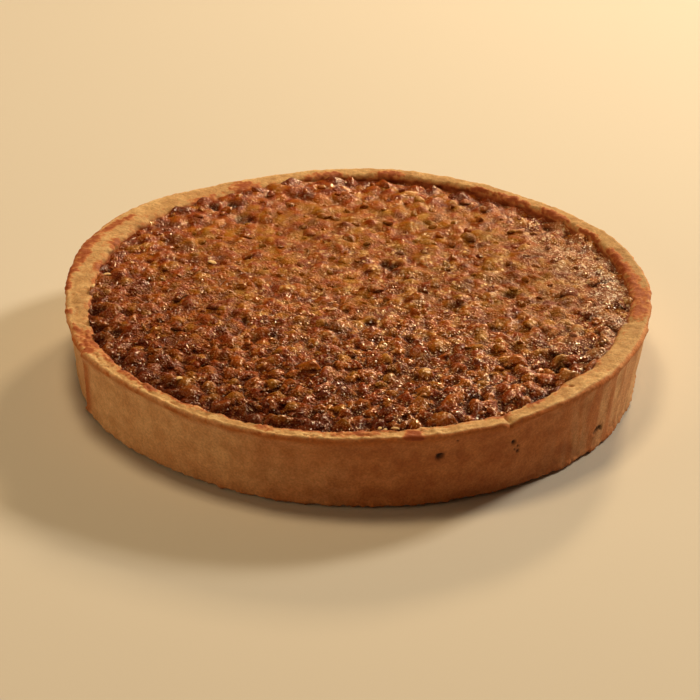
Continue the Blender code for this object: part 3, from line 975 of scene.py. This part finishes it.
# The nut's own brown, lighter where the syrup is golden; this golden is partly painted
# light, lighter towards the middle and back.
varied = add_node(
    caramel_coat, "ShaderNodeMath", {0: skin, 1: 0.6, 2: held["shade"]}, operation="MULTIPLY_ADD"
)
varied = add_node(
    caramel_coat, "ShaderNodeMath", {0: held["golden"], 1: 0.3, 2: varied}, operation="MULTIPLY_ADD"
)
varied = add_node(caramel_coat, "ShaderNodeMath", {0: varied, 1: 0.48}, operation="SUBTRACT")
tone = add_node(caramel_coat, "ShaderNodeValToRGB", {"Fac": varied})
ramp = tone.node.color_ramp
for position, _ in NUT_TONES[1:-1]:
    ramp.elements.new(position)
for stop, (position, hex_code) in zip(ramp.elements, NUT_TONES):
    stop.position = position
    stop.color = colour(hex_code)

film_tone, bubble_top_tone, glint_tone, soft_highlight_tone = (
    add_node(
        caramel_coat,
        "ShaderNodeMix",
        {0: value, 6: colour(low), 7: colour(high)},
        2,
        data_type="RGBA",
    )
    for value, low, high in (
        (held["golden"], "#74370a", "#916a1c"),
        (held["froth_and_sheen"], "#d9a860", "#fffaf6"),
        (held["froth_and_sheen"], "#f2dcb8", "#ffffff"),
        (held["froth_and_sheen"], "#eacb92", "#ffffff"),
    )
)
# One over another on the nut: syrup; froth with painted reflection; painted shadow in the
# gaps; painted highlights on bubble tops and painted shade between them; syrup pooled deep
# with painted shade; darker cooked syrup with painted shade; painted glints and painted
# soft highlights.
for share, over in (
    (shares["flooded"], film_tone),
    (shares["painted_gap_shadow"], colour("#1c0a05")),
    (shares["frothed_sheen"], colour("#e8d0bc")),
    (shares["painted_bubble_top"], bubble_top_tone),
    (shares["between"], colour("#6a2c0c")),
    (shares["deep"], colour("#3c1505")),
    (held["cooked_and_shade"], colour("#481603")),
    (shares["painted_glint"], glint_tone),
    (shares["painted_soft_highlight"], soft_highlight_tone),
):
    inputs = {0: share, 6: tone, 7: over}
    tone = add_node(caramel_coat, "ShaderNodeMix", inputs, 2, data_type="RGBA")

# Bubbles dimple both the nuts' wrinkled skin and the smoother glaze over it.
rough_skin, soft_skin = (
    add_node(caramel_coat, "ShaderNodeMath", {0: ripple, 1: height}, operation="MULTIPLY")
    for height in (1.4, 0.5)
)
nut_relief, glaze_relief = (
    add_node(
        caramel_coat,
        "ShaderNodeMath",
        {0: shares["bubbly"], 1: -dimple, 2: height},
        operation="MULTIPLY_ADD",
    )
    for dimple, height in ((1.8, rough_skin), (2.0, soft_skin))
)
nut_relief = add_node(
    caramel_coat, "ShaderNodeMath", {0: nut_relief, 1: held["crisp"]}, operation="MULTIPLY"
)
nut_bump, glaze_bump = (
    add_node(
        caramel_coat, "ShaderNodeBump", {"Strength": 1.0, "Distance": distance, "Height": height}
    )
    for distance, height in ((0.00045, nut_relief), (0.0009, glaze_relief))
)
caramel_shader.inputs["IOR"].default_value = 1.45
caramel_shader.inputs["Specular IOR Level"].default_value = 0.05
caramel_shader.inputs["Coat Roughness"].default_value = 0.07
caramel_shader.inputs["Coat IOR"].default_value = 1.6
feed(
    caramel_coat,
    caramel_shader,
    Base_Color=tone,
    Roughness=shows["wetness"],
    Normal=nut_bump,
    Coat_Weight=shares["glaze"],
    Coat_Normal=glaze_bump,
)

syrup_piece = add_piece("caramel_syrup", syrup_mesh, caramel_coat)
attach(syrup_piece, "root")
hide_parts("walnut_filling")

# ----------------------------------------------------------------------------------
# The chopped walnuts that stand out of the syrup: kernels broken by hand into pieces
# of 3 to 8 mm, each wrinkled outside and flat where it broke, and glazed all over.


def nut_ball(subdivisions):
    """Corners and triangles of a plain ball that the pieces are cut from."""
    ball = bmesh.new()
    bmesh.ops.create_icosphere(ball, subdivisions=subdivisions, radius=1.0)
    corners = np.array([vert.co for vert in ball.verts])
    triangles = np.array([[vert.index for vert in face.verts] for face in ball.faces])
    ball.free()
    return corners, triangles


def broken_nut(ball, length, width, height, breaks):
    """One piece of kernel: a ball cut flat by a few breaks, stretched, and wrinkled."""
    shape = ball.copy()
    for _ in range(breaks):
        facing = Vector((chance.gauss(0, 1), chance.gauss(0, 1), chance.gauss(0.3, 0.7)))
        facing = np.array(facing.normalized())
        beyond = np.maximum(shape @ facing - chance.uniform(0.45, 0.8), 0.0)
        shape = shape - beyond[:, None] * facing
    shift = chance.uniform(-50.0, 50.0)
    wrinkle = noise_at(shape[:, 0] + shift, shape[:, 1], shape[:, 2], 0.55)
    shape = shape * (1.0 + 0.16 * wrinkle[:, None]) * np.array((length, width, height)) / 2
    tilt_x = Matrix.Rotation(chance.gauss(0.0, 0.3), 3, "X")
    tilt_y = Matrix.Rotation(chance.gauss(0.0, 0.3), 3, "Y")
    spin = Matrix.Rotation(chance.uniform(0.0, math.tau), 3, "Z")
    return shape @ np.array(spin @ (tilt_x @ tilt_y)).T


def scatter_nuts(name, count, subdivisions, lengths, raised, breaks):
    """A mesh of many pieces, spread evenly, each partly sunk in the syrup."""
    ball, triangles = nut_ball(subdivisions)
    corners, faces, shades, depths = [], [], [], []
    for x, y in sunflower(count, TOP_RADIUS - RIM_WIDTH - 0.003, 0.0022):
        here = np.array([x]), np.array([y])
        length = chance.uniform(*lengths)
        if sample(to_edge, *here)[0] < 0.25 * length or sample(gap, *here)[0] > 0.3:
            continue
        width = length * chance.uniform(0.6, 0.9)
        height = length * chance.uniform(0.4, 0.62)
        ground = sample(top, *here)[0]
        piece = broken_nut(ball, length, width, height, breaks)
        lift = ground + height * chance.uniform(*raised)
        faces.append(triangles + len(corners) * len(ball))
        corners.append(piece + (x, y, lift))
        shades.append(np.full(len(ball), chance.betavariate(3.0, 3.0)))
        depths.append((ground + 0.12 * height - lift - piece[:, 2]) / 0.0011)
    corners = np.vstack(corners)
    mesh = bpy.data.meshes.new(name)
    mesh.from_pydata(corners.tolist(), [], np.vstack(faces).tolist())
    x, y = corners[:, 0], corners[:, 1]
    add_filling_values(mesh, x, y, np.concatenate(shades), np.concatenate(depths))
    piece = add_piece(name, mesh, caramel_coat)
    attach(piece, "root")


scatter_nuts("walnut_pieces", 90, 3, (0.0055, 0.0085), (-0.22, 0.0), 5)
scatter_nuts("walnut_bits", 300, 2, (0.0026, 0.0052), (-0.2, 0.1), 3)

# ----------------------------------------------------------------------------------
# Flakes of the crust, broken off when its rim was cut: thin curled chips of the same
# shortcrust, pale because the oven never browned them. Most lie on the filling's edge.

# (x, y, length, width, turn in degrees, curl in degrees)
FLAKES = (
    (0.0111, -0.1059, 0.0034, 0.0012, 60.0, 130.0),
    (0.0092, -0.1089, 0.0020, 0.0013, 75.0, 60.0),
    (0.0147, -0.1085, 0.0032, 0.0012, -10.0, 50.0),
    (-0.0989, 0.0098, 0.0034, 0.0016, 15.0, 40.0),
    (-0.1031, -0.0028, 0.0034, 0.0012, 80.0, 30.0),
    (-0.0583, 0.0241, 0.0044, 0.0022, -35.0, 30.0),
    (-0.0648, -0.0766, 0.0026, 0.0022, 20.0, 40.0),
)
FLAKE_THICKNESS = 0.0005
FLAKE_LIFT = 0.0008  # of its middle, over what it lies on
FLAKE_SIDES = 24
FLAKE_RINGS = 5
around, outward = np.meshgrid(
    np.linspace(0.0, 2.0 * np.pi, FLAKE_SIDES + 1)[:-1],
    np.linspace(0.05, 1.0, FLAKE_RINGS),
    indexing="ij",
)
flake_points, flake_faces = [], []
for x, y, length, width, turn_by, curl in FLAKES:
    edge_x, edge_y = np.cos(around), np.sin(around)
    ragged_edge = 1.0 + 0.22 * noise_at(edge_x + 900.0 * x, edge_y, 0.0 * around, 0.5)
    lengthwise = 0.5 * length * edge_x * outward * ragged_edge
    sideways = 0.5 * width * edge_y * outward * ragged_edge
    thick = 0.5 * FLAKE_THICKNESS * np.sqrt(1.02 - outward**2)
    bend = math.radians(curl) / length
    upper = np.concatenate([thick, -thick[:, ::-1]], axis=1)
    lengthwise = np.concatenate([lengthwise, lengthwise[:, ::-1]], axis=1)
    sideways = np.concatenate([sideways, sideways[:, ::-1]], axis=1)
    curled_x = (1.0 / bend + upper) * np.sin(bend * lengthwise)
    curled_z = (1.0 / bend + upper) * np.cos(bend * lengthwise) - 1.0 / bend
    spin = math.radians(turn_by)
    placed_x = x + curled_x * math.cos(spin) - sideways * math.sin(spin)
    placed_y = y + curled_x * math.sin(spin) + sideways * math.cos(spin)
    ground = sample(top, np.array([x]), np.array([y]))[0]
    flake_angle = np.array([math.degrees(math.atan2(y, x))])
    if math.hypot(x, y) > inner_radius(flake_angle, HEIGHT)[0] - 0.002:
        ground = max(ground, rim_top(flake_angle)[0])
    placed_z = ground + FLAKE_LIFT + curled_z
    count = upper.shape[1]
    starts = [len(flake_points) + side * count for side in range(FLAKE_SIDES)]
    flake_points += np.stack([placed_x, placed_y, placed_z], axis=2).reshape(-1, 3).tolist()
    for here, beside in zip(starts, starts[1:] + starts[:1]):
        for step in range(count - 1):
            flake_faces.append((here + step, here + step + 1, beside + step + 1, beside + step))
    flake_faces.append(starts)
    flake_faces.append([start + count - 1 for start in starts][::-1])
flake_mesh = bpy.data.meshes.new("crust_flakes")
flake_mesh.from_pydata(flake_points, [], flake_faces)
add_value(flake_mesh, "pale", np.full(len(flake_points), 0.9))
flakes = add_piece("crust_flakes", flake_mesh, shortcrust)
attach(flakes, "root")

# ----------------------------------------------------------------------------------
# A plain pale table, soft studio lamps, and the camera at the photograph's view.

FLOOR_HALF = 3.0
floor_corners = [
    (x * FLOOR_HALF, y * FLOOR_HALF, 0.0) for x, y in ((-1, -1), (1, -1), (1, 1), (-1, 1))
]
floor_mesh = bpy.data.meshes.new("table")
floor_mesh.from_pydata(floor_corners, [], [(0, 1, 2, 3)])
painted, table_shader = new_material("matt painted table")
table_shader.inputs["Base Color"].default_value = colour("#cfd2d4")
table_shader.inputs["Roughness"].default_value = 0.8
table = add_piece("table", floor_mesh, painted)


def softbox(name, place, target, size, watts, hex_code):
    data = bpy.data.lights.new(name, "AREA")
    data.shape = "RECTANGLE"
    data.size, data.size_y = size
    data.energy = watts
    data.color = colour(hex_code)[:3]
    lamp = bpy.data.objects.new(name, data)
    bpy.context.scene.collection.objects.link(lamp)
    lamp.location = place
    lamp.rotation_euler = (Vector(target) - Vector(place)).to_track_quat("-Z", "Y").to_euler()


softbox("right softbox", (1.20, 0.90, 0.85), (0.0, 0.0, 0.02), (0.25, 0.25), 23.5, "#ffe6c0")
softbox("back softbox", (0.45, 1.30, 0.70), (0.0, 0.0, 0.02), (0.20, 0.20), 13.0, "#ffd49a")
softbox("top softbox", (-0.15, 0.1, 1.3), (0.0, 0.0, 0.0), (0.35, 0.35), 8.0, "#ffd49a")
softbox("left fill", (-1.30, -0.45, 0.50), (0.0, 0.0, 0.02), (0.8, 0.8), 4.5, "#ffd49a")
softbox("low front fill", (-0.1, -1.3, 0.16), (0.0, 0.0, 0.0), (0.4, 0.12), 0.7, "#ffcf90")

world = bpy.data.worlds.new("studio")
world.use_nodes = True
world.node_tree.nodes["Background"].inputs["Color"].default_value = colour("#f0c898")
world.node_tree.nodes["Background"].inputs["Strength"].default_value = 0.04
bpy.context.scene.world = world
bpy.context.scene.view_settings.view_transform = "Standard"

CAMERA_DISTANCE = 1.155
ELEVATION = math.radians(26.76)
ROLL = math.radians(1.40)
LENS = 151.9
RIM_EDGE = Vector((0.0, 0.0, HEIGHT - 0.0014))  # the middle of the rim's outer edge
OFF_AXIS = (-0.0030, -0.0225)  # from there to what is at the middle of the view, right and up

back = Vector((0.0, -math.cos(ELEVATION), math.sin(ELEVATION)))
level_right = Vector((1.0, 0.0, 0.0))
level_up = Vector((0.0, math.sin(ELEVATION), math.cos(ELEVATION)))
view_right = level_right * math.cos(ROLL) + level_up * math.sin(ROLL)
view_up = level_up * math.cos(ROLL) - level_right * math.sin(ROLL)
camera_data = bpy.data.cameras.new("camera")
camera_data.lens = LENS
camera_data.sensor_width = 36.0
camera = bpy.data.objects.new("camera", camera_data)
bpy.context.scene.collection.objects.link(camera)
camera.location = RIM_EDGE + back * CAMERA_DISTANCE
target = RIM_EDGE + view_right * OFF_AXIS[0] + view_up * OFF_AXIS[1]
aim = (camera.location - target).normalized()
side_way = view_up.cross(aim).normalized()
camera_up = aim.cross(side_way)
turned = Matrix((side_way, camera_up, aim)).transposed()
camera.matrix_world = Matrix.LocRotScale(camera.location, turned, None)
bpy.context.scene.camera = camera
